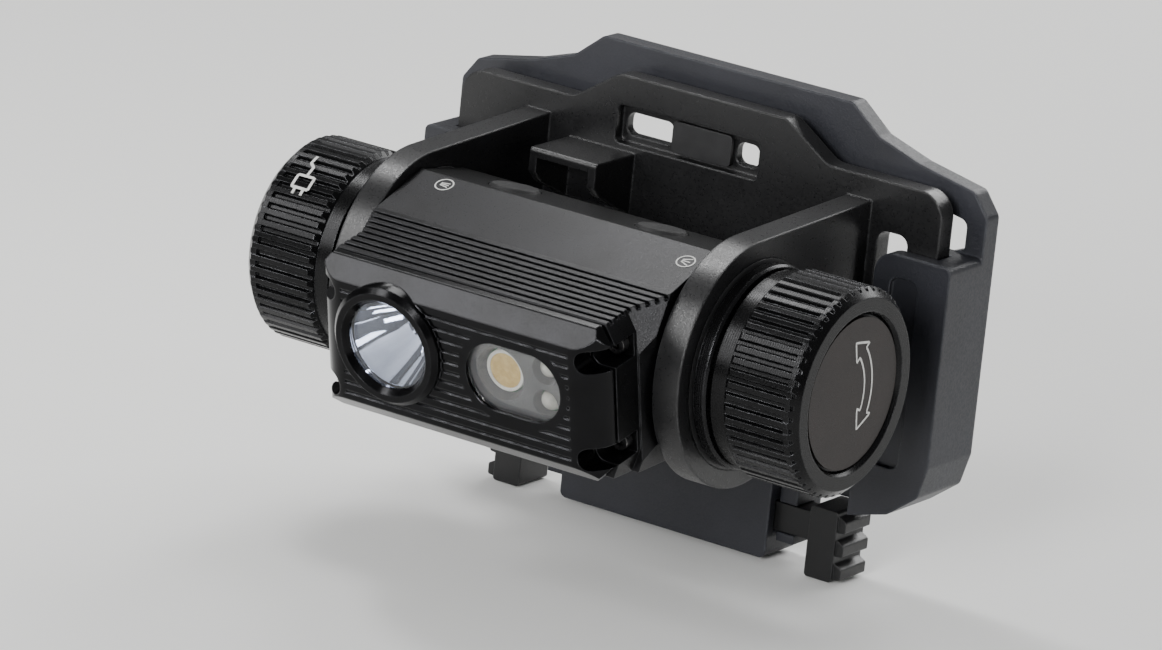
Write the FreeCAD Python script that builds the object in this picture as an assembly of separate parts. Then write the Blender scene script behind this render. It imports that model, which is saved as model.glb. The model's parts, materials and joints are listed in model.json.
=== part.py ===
import FreeCAD
import Part
import math
import os

V = FreeCAD.Vector

# Helmet headlamp with a tilting twin-beam lamp, a ring cradle and a helmet adapter.
# Millimetres. +Z up, -Y forward (the way the lamp shines), X along the battery tube.
# Origin: middle of the adapter's lower cross bar, on the back face that lies against the helmet.

# rest pose
rest_tilt = 13.0            # degrees the lamp looks down from the plate's normal
lamp_axis_z = 20.0          # height of the tube's axis over the adapter's lower cross bar

# battery and tube
battery_radius = 10.6
battery_length = 70.0
battery_clearance = 0.4
thread_wall = 1.3           # tube wall under the cap threads
journal_wall = 2.4          # tube wall where the rings ride
tail_room = 3.6             # from the battery's end to the tube's tail end
port_room = 8.4             # from the battery's start to the tube's port end
print_gap = 0.3             # standing gap between separate bodies
running_gap = 0.06          # radial gap of turning and screwing fits

# caps
cap_wall = 1.94             # cap outside to its bore
cap_past_tube = 4.0         # cap's end past the tube's end
cap_chamfer = 1.2
cap_collar_step = 0.8
cap_collar_length = 2.2
cap_floor = 2.6
knurl_count = 54
knurl_depth = 0.55
end_recess_depth = 0.9
end_rim = 3.1
badge_edge_gap = 0.8
badge_thickness = 0.5
oring_section = 0.42
oring_setback = 1.6         # from the cap's start to the middle of its O-ring
tail_spring_radius = 4.2
tail_spring_wire = 0.3
tail_spring_turns = 3.5
spring_end_gap = 0.15

# lamp head, lamp frame: forward F and up U from the tube axis
panel_rear_f = 0.8
panel_rear_rise = 2.3       # over the tube's outside
panel_front_f = 11.0
panel_front_rise = 0.8
head_top_rise = 0.6
facet_rear_f = -8.5
facet_rear_drop = 1.4       # under the top of the tube's outside
cover_joint_f = 22.8
head_bottom_u = -8.6
belly = ((-4.0, -12.9), (8.0, -10.4))
head_half_width = 24.1      # beside the rings
head_front_half = 23.1      # at the cover joint
shoulder_f = 15.0
shoulder_end_f = 18.0
top_inset = 1.7             # of the head's top edges, at its front
side_chamfer_drop = 2.8
belly_inset = 3.0
belly_edge_u = (-6.0, -13.5)
gasket_thickness = 0.5
face_f = 27.0
face_chamfer = 2.6
face_corner_radius = 4.6
cover_bottom_inset = 2.4
rib_groove_pitch = 1.35
rib_groove_width = 0.6
rib_groove_depth = 0.6
rib_groove_count = 8
rib_first_f = 11.9
face_groove_pitch = 1.5
face_groove_depth = 0.2
face_groove_width = 0.45
face_groove_count = 11
face_groove_half = 18.4
cavity_rear_f = 14.0
cavity_half_width = 19.4
cavity_top_u = 11.0
cavity_bottom_u = -5.6

# spot light
spot_x = -10.7
spot_u = 4.1
spot_hole_radius = 6.2
spot_lens_edge = 0.5
spot_lens_thickness = 1.4
spot_lens_clearance = 0.05
boss_wall = 2.3
boss_height = 1.3
boss_bevel = 0.7
lens_lip = 1.0
reflector_edge = 0.1
reflector_throat_radius = 2.0
reflector_depth = 7.6
reflector_wall = 0.6
spot_led_half = 1.4
spot_led_height = 0.7
spot_dome_radius = 1.2

# flood window
window_x = 9.4
window_u = 3.9
window_length = 15.2
window_height = 9.8
window_lip = 0.6
window_frame = 1.2
window_seat = 0.5
window_glass_thickness = 1.2
insert_thickness = 1.5
flood_led_x = 6.5
flood_led_radius = 2.5
flood_hole_radius = 3.2
small_led_x = 13.7
small_led_spacing = 4.8
small_led_radius = 1.5
small_led_post = 0.45

# inner boards
sink_thickness = 2.0
spot_board_radius = 6.2
board_thickness = 1.0
board_post_radius = 0.8
flood_board_thickness = 1.1
flood_board_gap = 0.6
driver_gap = 2.0
driver_left_x = -2.8
driver_right_x = 18.2
driver_edge = 0.6           # inside the cavity's floor and roof

# head screws
screw_x = 21.0
screw_top_u = 9.6
screw_bottom_u = -4.6
screw_head_radius = 1.35
screw_head_height = 1.3
screw_seat_f = 18.6
screw_thread_radius = 0.9
screw_thread_length = 6.0
screw_notch_radius = 1.65
screw_socket_radius = 0.75

# buttons
button_x = 12.0
button_radius = 3.6
button_gap = 0.12
button_height = 1.75
button_travel = 0.3
button_proud = 0.35
button_bevel = 0.4
button_dish_radius = 18.0
button_dish_depth = 0.15
switch_height = 0.55
switch_radius = 2.4
switch_dome_radius = 1.2
switch_room = 0.1

# cradle, measured from the lamp axis
ring_width = 4.0
ring_wall = 2.64
liner_thickness = 0.9
band_thickness = 1.9
band_step = 0.6
plate_reach = 9.0           # from the ring's outside to the plate's front
plate_thickness = 3.0
plate_top_z = 26.0
plate_top_half = 13.75
shoulder_half = 21.0
wing_top_z = 21.2
wing_reach = 13.1           # from the ring's middle to the plate's edge
plate_bottom_z = -19.0
plate_corner = 3.6
arm_rise = 1.0
slot_left_x = -13.5
slot_right_x = 10.0
slot_below_top = 9.6
slot_height = 5.4
slot_recess = 1.6
window_bar_half = 5.0
side_slot_reach = 5.9       # from the ring's middle to the slot's middle
side_slot_width = 4.8
side_slot_ends = (6.8, 7.0)  # under the wing's top, over the plate's bottom
stop_block_left_x = -21.0
stop_block_right_x = -10.0
stop_block_depth = 9.2
stop_block_top_z = 15.4
stop_block_wall = 1.2

# adapter, measured from the lamp axis in Y and Z like the cradle
adapter_behind_plate = 5.5
adapter_thickness = 3.0
channel_gap = 0.15
lip_thickness = 2.3
wall_gap = 0.4
side_wall = 3.4
lip_cover = 8.0             # how far the lip reaches over the cradle plate
rail_cover = 4.2
lip_top_z = 12.5
adapter_over_plate = 3.0
adapter_top_half = 20.5
frame_bar = 6.5             # lower cross bar, under the cradle plate's edge
floor_gap = 0.3
block_half_width = 17.2
block_drop = 17.0
block_depth = 7.5
pad_thickness = 0.8
pad_radius = 2.6
pad_inset = 4.2
pad_z = (8.0, -13.0)

# squeeze latches, heights measured down from the cradle plate's lower edge
latch_travel = 1.5
grip_inner_x = 24.0
grip_outer_x = 29.6
grip_drop = (17.4, 7.3)
grip_depth = 7.9
grip_back_gap = 0.9
stem_size = 4.0
stem_inner_x = 10.0
stem_drop = 11.0
stem_depth = 3.9
stem_gap = 0.2
spring_seat_x = 4.0
spring_radius = 1.5
spring_wire = 0.25
spring_turns = 6
grip_ridge_count = 3
grip_ridge_height = 1.2
rib_wall_start = 17.8
rib_wall_end = 20.6
rib_wall_depth = 6.0
rib_wall_drop = 14.4
lug_length = 1.6
lug_size = 0.9
lug_end_gap = 0.4
cover_thickness = 1.3
cover_half = 14.6
cover_drop = (14.6, 7.6)
cover_screw_x = 2.2
cover_screw_radius = 0.8
cover_screw_length = 4.0


# helpers
def block(x0, x1, y0, y1, z0, z1):
    return Part.makeBox(x1 - x0, y1 - y0, z1 - z0, V(x0, y0, z0))


def rod_x(radius, x0, x1, y=0.0, z=0.0):
    return Part.makeCylinder(radius, x1 - x0, V(x0, y, z), V(1, 0, 0))


def ring_x_solid(outer, inner, x0, x1):
    return rod_x(outer, x0, x1).cut(rod_x(inner, x0 - 1, x1 + 1))


def corner_wire(points, radii, lift):
    # closed outline with a round of the given radius at every corner
    count = len(points)
    edges = []
    ends = []
    for i in range(count):
        before = V(*points[i - 1], 0)
        here = V(*points[i], 0)
        after = V(*points[(i + 1) % count], 0)
        toward_before = (before - here).normalize()
        toward_after = (after - here).normalize()
        radius = radii[i]
        if radius <= 0:
            ends.append((here, None, here))
            continue
        half = toward_before.getAngle(toward_after) / 2
        run = radius / math.tan(half)
        bisector = (toward_before + toward_after).normalize()
        middle = here + bisector * (radius / math.sin(half) - radius)
        ends.append((here + toward_before * run, middle, here + toward_after * run))
    for i in range(count):
        start, middle, end = ends[i]
        if middle is not None:
            edges.append(Part.Arc(lift(start), lift(middle), lift(end)).toShape())
        following = ends[(i + 1) % count][0]
        if (following - end).Length > 1e-6:
            edges.append(Part.makeLine(lift(end), lift(following)))
    return Part.Wire(Part.__sortEdges__(edges))


def rounded(points, radius):
    return [radius] * len(points)


def prism_x(points, radii, x0, x1):
    # outline in (y, z), pushed along X
    wire = corner_wire(points, radii, lambda p: V(x0, p.x, p.y))
    return Part.Face(wire).extrude(V(x1 - x0, 0, 0))


def prism_y(points, radii, y0, y1):
    # outline in (x, z), pushed along Y
    wire = corner_wire(points, radii, lambda p: V(p.x, y0, p.y))
    return Part.Face(wire).extrude(V(0, y1 - y0, 0))


def prism_z(points, radii, z0, z1):
    # outline in (x, y), pushed along Z
    wire = corner_wire(points, radii, lambda p: V(p.x, p.y, z0))
    return Part.Face(wire).extrude(V(0, 0, z1 - z0))


def mirrored(points):
    # right half outline (x >= 0) completed by its mirror image in X
    return points + [(-x, z) for x, z in reversed(points)]


def forward_rod(radius, f0, f1, x, u):
    # round bar along the lamp's forward direction
    return Part.makeCylinder(radius, f1 - f0, V(x, -f0, u), V(0, -1, 0))


def stadium(length, height, f0, f1, x, u):
    half = height / 2
    outline = [
        (x - length / 2, u - half),
        (x + length / 2, u - half),
        (x + length / 2, u + half),
        (x - length / 2, u + half),
    ]
    return prism_y(outline, rounded(outline, half - 0.01), -f1, -f0)


def cone_shell(r0, r1, f0, f1, x, u):
    return Part.makeCone(r0, r1, f1 - f0, V(x, -f0, u), V(0, -1, 0))


def revolve_x(points):
    # outline in (x, radius) turned about the X axis
    wire = Part.makePolygon([V(x, 0, r) for x, r in points] + [V(points[0][0], 0, points[0][1])])
    return Part.Face(wire).revolve(V(0, 0, 0), V(1, 0, 0), 360)


def in_lamp(shape):
    # lamp frame to object frame: tilt about the tube axis, then move to the axis
    moved = shape.copy()
    moved.rotate(V(0, 0, 0), V(1, 0, 0), rest_tilt)
    moved.translate(V(0, lamp_axis_y, lamp_axis_z))
    return moved


def at_axis(shape):
    # cradle and adapter outlines are drawn about the lamp axis, untilted
    moved = shape.copy()
    moved.translate(V(0, lamp_axis_y, lamp_axis_z))
    return moved


def flipped(shape):
    return shape.mirror(V(0, 0, 0), V(1, 0, 0))


def coil(radius, wire_radius, pitch, turns, start, axis):
    path = Part.makeHelix(pitch, pitch * turns, radius)
    section = Part.Wire(Part.makeCircle(wire_radius, V(radius, 0, 0), V(0, 1, 0)))
    spring = Part.Wire(path.Edges).makePipeShell([section], True, True)
    spring.Placement = FreeCAD.Placement(start, FreeCAD.Rotation(V(0, 0, 1), axis))
    return spring


def save(name, shape):
    shape.exportStep("parts/" + name + ".step")


# sizes that follow
bore_radius = battery_radius + battery_clearance
thread_radius = bore_radius + thread_wall
journal_radius = bore_radius + journal_wall
tube_end_x = (battery_length + tail_room + port_room) / 2
battery_start_x = -tube_end_x + port_room
battery_end_x = battery_start_x + battery_length
ring_x = head_half_width + 0.4 + ring_width / 2
thread_start_x = ring_x + ring_width / 2 + 0.1
band_start_x = ring_x + ring_width / 2 + print_gap
cap_start_x = band_start_x + band_thickness + 0.6
knurl_start_x = cap_start_x + cap_collar_length
oring_x = cap_start_x + oring_setback
cap_end_x = tube_end_x + cap_past_tube
cap_skirt_radius = thread_radius + running_gap
cap_radius = cap_skirt_radius + cap_wall
cap_collar_radius = cap_radius - cap_collar_step
end_recess_radius = cap_radius - end_rim
badge_radius = end_recess_radius - badge_edge_gap
oring_floor_radius = cap_skirt_radius - 2 * oring_section - 0.03
tail_contact_x = cap_end_x - cap_floor - 1.0
port_contact_x = battery_start_x - 1.7

panel_rear = (panel_rear_f, journal_radius + panel_rear_rise)
panel_front = (panel_front_f, journal_radius + panel_front_rise)
facet_rear = (facet_rear_f, journal_radius - facet_rear_drop)
head_top_u = journal_radius + head_top_rise
side_chamfer_u = head_top_u - side_chamfer_drop
top_half_width = head_front_half - top_inset
cover_rear_f = cover_joint_f + gasket_thickness
spot_lens_radius = spot_hole_radius + spot_lens_edge
boss_radius = spot_hole_radius + boss_wall
boss_front_f = face_f + boss_height
reflector_front_radius = spot_hole_radius - reflector_edge
lens_front_f = boss_front_f - lens_lip
lens_rear_f = lens_front_f - spot_lens_thickness
reflector_rear_f = lens_rear_f - reflector_depth
window_front_f = face_f - window_lip
window_rear_f = window_front_f - window_glass_thickness
insert_rear_f = window_rear_f - insert_thickness
flood_board_front_f = insert_rear_f - flood_board_gap
sink_front_f = cavity_rear_f + sink_thickness
driver_back_f = sink_front_f + driver_gap

liner_inner = journal_radius + running_gap
liner_outer = liner_inner + liner_thickness
ring_outer_radius = liner_outer + ring_wall
band_radius = journal_radius + band_step
plate_half_width = ring_x + wing_reach
plate_front_y = ring_outer_radius + plate_reach
plate_back_y = plate_front_y + plate_thickness
arm_top_z = ring_outer_radius + arm_rise
arm_bottom_z = 4.0 - ring_outer_radius
slot_bottom_z = plate_top_z - slot_below_top
slot_top_z = slot_bottom_z + slot_height
side_slot_x = ring_x + side_slot_reach
side_slot_top_z = wing_top_z - side_slot_ends[0]
side_slot_bottom_z = plate_bottom_z + side_slot_ends[1]
stop_block_front_y = plate_front_y - stop_block_depth

adapter_back_y = plate_back_y + adapter_behind_plate
adapter_front_y = adapter_back_y - adapter_thickness
lamp_axis_y = -adapter_back_y
channel_front_y = plate_front_y - channel_gap
channel_back_y = plate_back_y + channel_gap
lip_front_y = channel_front_y - lip_thickness
adapter_half_width = plate_half_width + wall_gap + side_wall
lip_inner_x = plate_half_width - lip_cover
rail_inner_x = plate_half_width - rail_cover
adapter_top_z = plate_top_z + adapter_over_plate
lip_bottom_z = plate_bottom_z - 6.0
frame_bottom_z = plate_bottom_z - frame_bar
opening_bottom_z = plate_bottom_z + 4.5
block_bottom_z = plate_bottom_z - block_drop
block_front_y = adapter_back_y - block_depth
pad_x = adapter_half_width - pad_inset

grip_bottom_z = plate_bottom_z - grip_drop[0]
grip_top_z = plate_bottom_z - grip_drop[1]
grip_front_y = adapter_back_y - grip_depth
grip_back_y = adapter_back_y - grip_back_gap
stem_center_z = plate_bottom_z - stem_drop
stem_center_y = adapter_back_y - stem_depth
cover_bottom_z = plate_bottom_z - cover_drop[0]
cover_top_z = plate_bottom_z - cover_drop[1]
cover_front_y = adapter_back_y - cover_thickness


# lamp housing
def head_outline():
    return [
        (-facet_rear[0], facet_rear[1]),
        (-panel_rear[0], panel_rear[1]),
        (-panel_front[0], panel_front[1]),
        (-cover_joint_f, head_top_u),
        (-cover_joint_f, head_bottom_u),
        belly[0],
        belly[1],
    ]


def head_block():
    body = prism_x(head_outline(), [0, 0.8, 0.5, 0.3, 0.3, 0, 0], -head_half_width, head_half_width)
    sides = mirrored([
        (head_half_width, panel_rear[1] + 4.3),
        (head_half_width, belly_edge_u[0]),
        (head_half_width - belly_inset, belly_edge_u[1]),
    ])
    front_sides = mirrored([
        (top_half_width, head_top_u + 0.5),
        (head_front_half, side_chamfer_u),
        (head_front_half, belly_edge_u[0]),
        (head_front_half - belly_inset, belly_edge_u[1]),
    ])
    rear = prism_y(sides, rounded(sides, 0.6), -shoulder_end_f, 20)
    front = prism_y(front_sides, rounded(front_sides, 0.6), -40, -shoulder_end_f)
    plan = mirrored([
        (head_half_width, 20),
        (head_half_width, -shoulder_f),
        (head_front_half, -shoulder_end_f - 1.0),
        (head_front_half, -40),
    ])
    body = body.common(rear.fuse(front)).common(prism_z(plan, rounded(plan, 0), -20, 25))
    return body.cut([corner_facet(), flipped(corner_facet())])


def corner_facet():
    # slanted cut that takes the top corner off between the ring and the cover
    rear_top = V(head_half_width, -shoulder_f + 3.6, head_top_u + 0.4)
    front_top = V(top_half_width, -shoulder_end_f, head_top_u + 0.2)
    tip = V(head_front_half + 0.4, -shoulder_end_f, head_top_u - 6.6)
    normal = (front_top - rear_top).cross(tip - rear_top).normalize()
    if normal.x < 0:
        normal = normal * -1
    cut = Part.makeBox(60, 60, 20, V(-30, -30, 0))
    cut.Placement = FreeCAD.Placement(rear_top, FreeCAD.Rotation(V(0, 0, 1), normal))
    return cut.common(block(0, 60, -shoulder_end_f, 10, -5, 30))


def rib_grooves():
    cuts = []
    for i in range(rib_groove_count):
        front = rib_first_f + i * rib_groove_pitch
        cuts.append(block(-head_half_width - 1, head_half_width + 1, -front - rib_groove_width, -front,
                          head_top_u - rib_groove_depth + 0.05, panel_rear[1] + 2.3))
    return cuts


def button_frame(shape):
    # from a frame whose Z stands square to the rear top facet to the lamp frame
    lean = math.degrees(math.atan2(panel_rear[1] - facet_rear[1], panel_rear[0] - facet_rear[0]))
    moved = shape.copy()
    moved.rotate(V(0, 0, 0), V(1, 0, 0), -lean)
    middle_f = (panel_rear[0] + facet_rear[0]) / 2
    middle_u = (panel_rear[1] + facet_rear[1]) / 2
    moved.translate(V(0, -middle_f, middle_u))
    return moved


def switch_floor_depth():
    # from the facet down to the board under a button's switch
    return button_height - button_proud + switch_height + button_travel + switch_room


def main_housing():
    tube = rod_x(journal_radius, -thread_start_x, thread_start_x)
    tube = tube.fuse(rod_x(thread_radius, -tube_end_x, tube_end_x))
    body = tube.fuse(head_block())
    body = body.cut(rod_x(bore_radius, -tube_end_x - 1, tube_end_x + 1))
    cavity_outline = [
        (-cavity_half_width, cavity_bottom_u),
        (cavity_half_width, cavity_bottom_u),
        (cavity_half_width, cavity_top_u),
        (-cavity_half_width, cavity_top_u),
    ]
    body = body.cut(prism_y(cavity_outline, rounded(cavity_outline, 1.5), -30, -cavity_rear_f))
    body = body.cut(rib_grooves())
    pocket_depth = switch_floor_depth()
    for side in (-1, 1):
        pocket = Part.makeCylinder(button_radius + button_gap, pocket_depth + 3,
                                   V(side * button_x, 0, -pocket_depth))
        body = body.cut(button_frame(pocket))
        for u in (screw_top_u, screw_bottom_u):
            notch = forward_rod(screw_notch_radius, screw_seat_f, 40, side * screw_x, u)
            outward = block(0, screw_notch_radius + 6, -40, -screw_seat_f,
                            u - screw_notch_radius, u + screw_notch_radius)
            outward.translate(V(screw_x, 0, 0))
            if side < 0:
                outward = flipped(outward)
            hole = forward_rod(screw_thread_radius + 0.02, screw_seat_f - screw_thread_length - 0.4,
                               screw_seat_f + 1, side * screw_x, u)
            body = body.cut([notch, outward, hole])
    groove = ring_x_solid(thread_radius + 1, oring_floor_radius,
                          oring_x - oring_section - 0.05, oring_x + oring_section + 0.05)
    return body.cut([groove, flipped(groove)]).removeSplitter()


# front cover
def cover_outline_solid(front_f, rear_f):
    plan = [
        (-head_front_half, -rear_f),
        (head_front_half, -rear_f),
        (head_front_half, -front_f),
        (-head_front_half, -front_f),
    ]
    plan_solid = prism_z(plan, [0, 0, face_corner_radius, face_corner_radius], -15, 20)
    side = [
        (-rear_f, head_top_u),
        (-front_f + face_chamfer, head_top_u),
        (-front_f, head_top_u - face_chamfer),
        (-front_f, head_bottom_u + face_chamfer),
        (-front_f + face_chamfer, head_bottom_u),
        (-rear_f, head_bottom_u),
    ]
    side_solid = prism_x(side, [0, 0.5, 0.4, 0.4, 0.5, 0], -30, 30)
    front = mirrored([
        (top_half_width, head_top_u),
        (head_front_half, side_chamfer_u),
        (head_front_half, belly_edge_u[0]),
        (head_front_half - cover_bottom_inset, head_bottom_u),
    ])
    return plan_solid.common(side_solid).common(prism_y(front, rounded(front, 0.5), -40, 0))


def front_cover():
    body = cover_outline_solid(face_f, cover_rear_f)
    bevel_f = boss_front_f - boss_bevel
    bevel = cone_shell(boss_radius, boss_radius - boss_bevel, bevel_f, boss_front_f, spot_x, spot_u)
    boss = forward_rod(boss_radius, cover_rear_f, bevel_f, spot_x, spot_u).fuse(bevel)
    cuts = []
    for i in range(face_groove_count):
        u = head_bottom_u + face_chamfer + 0.9 + i * face_groove_pitch
        cuts.append(block(-face_groove_half, face_groove_half, -face_f, -face_f + face_groove_depth,
                          u, u + face_groove_width))
    frame = stadium(window_length + 2 * window_frame, window_height + 2 * window_frame,
                    cover_rear_f, face_f, window_x, window_u)
    body = body.cut(cuts).fuse([boss, frame])
    body = body.cut(forward_rod(spot_hole_radius, 0, 40, spot_x, spot_u))
    lens_seat = forward_rod(spot_lens_radius + spot_lens_clearance, 0, lens_front_f, spot_x, spot_u)
    flare = cone_shell(spot_hole_radius, spot_hole_radius + boss_bevel, lens_front_f + 0.2,
                       boss_front_f, spot_x, spot_u)
    body = body.cut([lens_seat, flare])
    body = body.cut(stadium(window_length, window_height, 0, 40, window_x, window_u))
    body = body.cut(stadium(window_length + 2 * window_seat, window_height + 2 * window_seat,
                            0, window_front_f, window_x, window_u))
    for side in (-1, 1):
        for u in (screw_top_u, screw_bottom_u):
            notch = forward_rod(screw_notch_radius, 0, 40, side * screw_x, u)
            outward = block(0, 8, -40, 0, u - screw_notch_radius, u + screw_notch_radius)
            outward.translate(V(screw_x, 0, 0))
            if side < 0:
                outward = flipped(outward)
            body = body.cut([notch, outward])
    return body.removeSplitter()


def head_gasket():
    margin = 0.6
    half = screw_x - screw_notch_radius - 0.2
    outline = [
        (-half, head_bottom_u + margin),
        (half, head_bottom_u + margin),
        (half, head_top_u - margin),
        (-half, head_top_u - margin),
    ]
    inner = [
        (-half + 0.8, cavity_bottom_u),
        (half - 0.8, cavity_bottom_u),
        (half - 0.8, cavity_top_u),
        (-half + 0.8, cavity_top_u),
    ]
    seal = prism_y(outline, rounded(outline, 1.6), -cover_rear_f, -cover_joint_f)
    hole = prism_y(inner, rounded(inner, 1.0), -cover_rear_f - 1, -cover_joint_f + 1)
    return seal.cut(hole)


def head_screws():
    screws = []
    for x in (-screw_x, screw_x):
        for u in (screw_top_u, screw_bottom_u):
            front = screw_seat_f + screw_head_height
            head = forward_rod(screw_head_radius, screw_seat_f, front, x, u)
            shank = forward_rod(screw_thread_radius, screw_seat_f - screw_thread_length, screw_seat_f, x, u)
            corners = [math.radians(a) for a in range(0, 361, 60)]
            socket = Part.makePolygon([
                V(x + screw_socket_radius * math.cos(a), -front - 0.5, u + screw_socket_radius * math.sin(a))
                for a in corners])
            socket = Part.Face(socket).extrude(V(0, 1.2, 0))
            screws.append(head.fuse(shank).cut(socket).removeSplitter())
    return Part.makeCompound(screws)


# spot light
def spot_lens():
    disc = forward_rod(spot_lens_radius, lens_rear_f, lens_front_f - 0.3, spot_x, spot_u)
    crown = cone_shell(spot_lens_radius, spot_lens_radius - 0.3, lens_front_f - 0.3, lens_front_f,
                       spot_x, spot_u)
    return disc.fuse(crown).removeSplitter()


def spot_reflector():
    # paraboloid shell: radius grows with the square root of the distance from the throat
    steps = 14
    depth = reflector_depth - 0.1
    inner = []
    for i in range(steps + 1):
        t = i / steps
        squared = reflector_throat_radius ** 2 + t * (reflector_front_radius ** 2 - reflector_throat_radius ** 2)
        inner.append((reflector_rear_f + t * depth, math.sqrt(squared)))
    outer = [(f, r + reflector_wall) for f, r in inner]
    outline = inner + list(reversed(outer))
    wire = Part.makePolygon([V(r, -f, 0) for f, r in outline + outline[:1]])
    shell = Part.Face(wire).revolve(V(0, 0, 0), V(0, 1, 0), 360)
    shell.translate(V(spot_x, 0, spot_u))
    return shell


def spot_board():
    return forward_rod(spot_board_radius, sink_front_f, sink_front_f + board_thickness, spot_x, spot_u)


def spot_led():
    front = sink_front_f + board_thickness
    top = front + spot_led_height
    base = block(spot_x - spot_led_half, spot_x + spot_led_half, -top, -front,
                 spot_u - spot_led_half, spot_u + spot_led_half)
    dome = Part.makeSphere(spot_dome_radius, V(spot_x, -top, spot_u))
    dome = dome.common(block(spot_x - 2, spot_x + 2, -top - 2.3, -top, spot_u - 2, spot_u + 2))
    return base.fuse(dome)


# flood light
def flood_window():
    slack = 2 * window_seat - 0.1
    return stadium(window_length + slack, window_height + slack, window_rear_f, window_front_f,
                   window_x, window_u)


def flood_insert():
    slack = 2 * window_seat - 0.2
    body = stadium(window_length + slack, window_height + slack, insert_rear_f, window_rear_f - 0.05,
                   window_x, window_u)
    cuts = [cone_shell(flood_hole_radius, flood_hole_radius + 0.6, insert_rear_f - 0.01, window_rear_f,
                       flood_led_x, window_u)]
    for side in (-1, 1):
        cuts.append(cone_shell(small_led_radius + 0.15, small_led_radius + 0.5, insert_rear_f - 0.01,
                               window_rear_f, small_led_x, window_u + side * small_led_spacing / 2))
    return body.cut(cuts)


def flood_board():
    return stadium(window_length - 0.4, window_height - 0.4, flood_board_front_f - flood_board_thickness,
                   flood_board_front_f, window_x, window_u)


def flood_led_ring():
    front = flood_board_front_f
    ring = forward_rod(flood_led_radius + 0.45, front, front + 0.9, flood_led_x, window_u)
    return ring.cut(forward_rod(flood_led_radius, front + 0.2, front + 2, flood_led_x, window_u))


def flood_led():
    front = flood_board_front_f + 0.2
    return forward_rod(flood_led_radius - 0.02, front, front + 0.6, flood_led_x, window_u)


def small_leds():
    front = flood_board_front_f
    lamps = []
    for side in (-1, 1):
        u = window_u + side * small_led_spacing / 2
        post = forward_rod(small_led_radius, front, front + small_led_post, small_led_x, u)
        dome = Part.makeSphere(small_led_radius, V(small_led_x, -front - small_led_post, u))
        keep = block(small_led_x - 2, small_led_x + 2, -front - 3, -front - small_led_post, u - 2, u + 2)
        lamps.append(post.fuse(dome.common(keep)))
    return Part.makeCompound(lamps)


# inside the head
def heat_sink():
    half = cavity_half_width - 0.1
    outline = [
        (-half, cavity_bottom_u + 0.1),
        (half, cavity_bottom_u + 0.1),
        (half, cavity_top_u - 0.1),
        (-half, cavity_top_u - 0.1),
    ]
    return prism_y(outline, rounded(outline, 1.5), -sink_front_f, -cavity_rear_f - 0.05)


def driver_board():
    back = driver_back_f
    low = cavity_bottom_u + driver_edge
    high = cavity_top_u - driver_edge
    outline = [
        (driver_left_x, low),
        (driver_right_x, low),
        (driver_right_x, high),
        (driver_left_x, high),
    ]
    body = prism_y(outline, rounded(outline, 0.8), -back - board_thickness, -back)
    holes = []
    for x, u in board_post_places():
        holes.append(forward_rod(board_post_radius + 0.1, back - 1, back + 3, x, u))
    return body.cut(holes)


def driver_chips():
    seat = driver_back_f + board_thickness
    chips = [
        block(-1.6, 2.4, -seat - 0.9, -seat, -3.6, 0.4),
        block(7.0, 12.0, -seat - 1.6, -seat, 5.4, 9.6),
        block(5.2, 7.6, -seat - 0.7, -seat, -3.8, -2.4),
        block(14.0, 17.0, -seat - 1.0, -seat, -1.6, 1.4),
    ]
    return Part.makeCompound(chips)


def board_post_places():
    return ((3.4, window_u + 2.6), (15.2, window_u))


def board_posts():
    front = flood_board_front_f - flood_board_thickness
    posts = [forward_rod(board_post_radius, sink_front_f, front, x, u) for x, u in board_post_places()]
    return Part.makeCompound(posts)


# buttons
def push_button(side):
    bottom = -(button_height - button_proud)
    x = side * button_x
    disc = Part.makeCylinder(button_radius, button_height - button_bevel, V(x, 0, bottom))
    crown = Part.makeCone(button_radius, button_radius - button_bevel, button_bevel,
                          V(x, 0, button_proud - button_bevel))
    dish = Part.makeSphere(button_dish_radius, V(x, 0, button_proud + button_dish_radius - button_dish_depth))
    return button_frame(disc.fuse(crown).cut(dish).removeSplitter())


def tact_switches():
    floor = -switch_floor_depth()
    switches = []
    for side in (-1, 1):
        base = Part.makeCylinder(switch_radius, switch_height * 0.6, V(side * button_x, 0, floor))
        dome = Part.makeCylinder(switch_dome_radius, switch_height * 0.4,
                                 V(side * button_x, 0, floor + switch_height * 0.6))
        switches.append(button_frame(base.fuse(dome)))
    return Part.makeCompound(switches)


# battery and contacts
def battery_cell():
    can = rod_x(battery_radius, battery_start_x + 0.6, battery_end_x)
    shoulder = Part.makeCone(battery_radius - 0.6, battery_radius, 0.6, V(battery_start_x, 0, 0), V(1, 0, 0))
    return can.fuse(shoulder).removeSplitter()


def battery_terminal():
    return rod_x(3.4, battery_start_x - 0.9, battery_start_x)


def front_contact():
    start = battery_start_x - 0.9
    return rod_x(2.6, start - 0.55, start - 0.02).fuse(rod_x(4.2, start - 0.8, start - 0.5))


def port_board():
    return rod_x(bore_radius - 0.2, port_contact_x - board_thickness, port_contact_x)


def port_plug():
    start = port_contact_x - board_thickness
    body = rod_x(bore_radius - 0.15, -tube_end_x + 0.3, start - 0.3)
    return body.cut(block(-tube_end_x - 1, 0, -4.7, 4.7, -1.8, 1.8))


def usb_port():
    start = port_contact_x - board_thickness
    outline = [(-4.5, -1.6), (4.5, -1.6), (4.5, 1.6), (-4.5, 1.6)]
    inner = [(-4.15, -1.25), (4.15, -1.25), (4.15, 1.25), (-4.15, 1.25)]
    shell = prism_x(outline, rounded(outline, 1.4), -tube_end_x + 0.2, start)
    return shell.cut(prism_x(inner, rounded(inner, 1.1), -tube_end_x - 1, start - 0.6))


def usb_tongue():
    start = port_contact_x - board_thickness
    return block(-tube_end_x + 1.0, start - 0.6, -3.3, 3.3, -0.35, 0.35)


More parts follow.
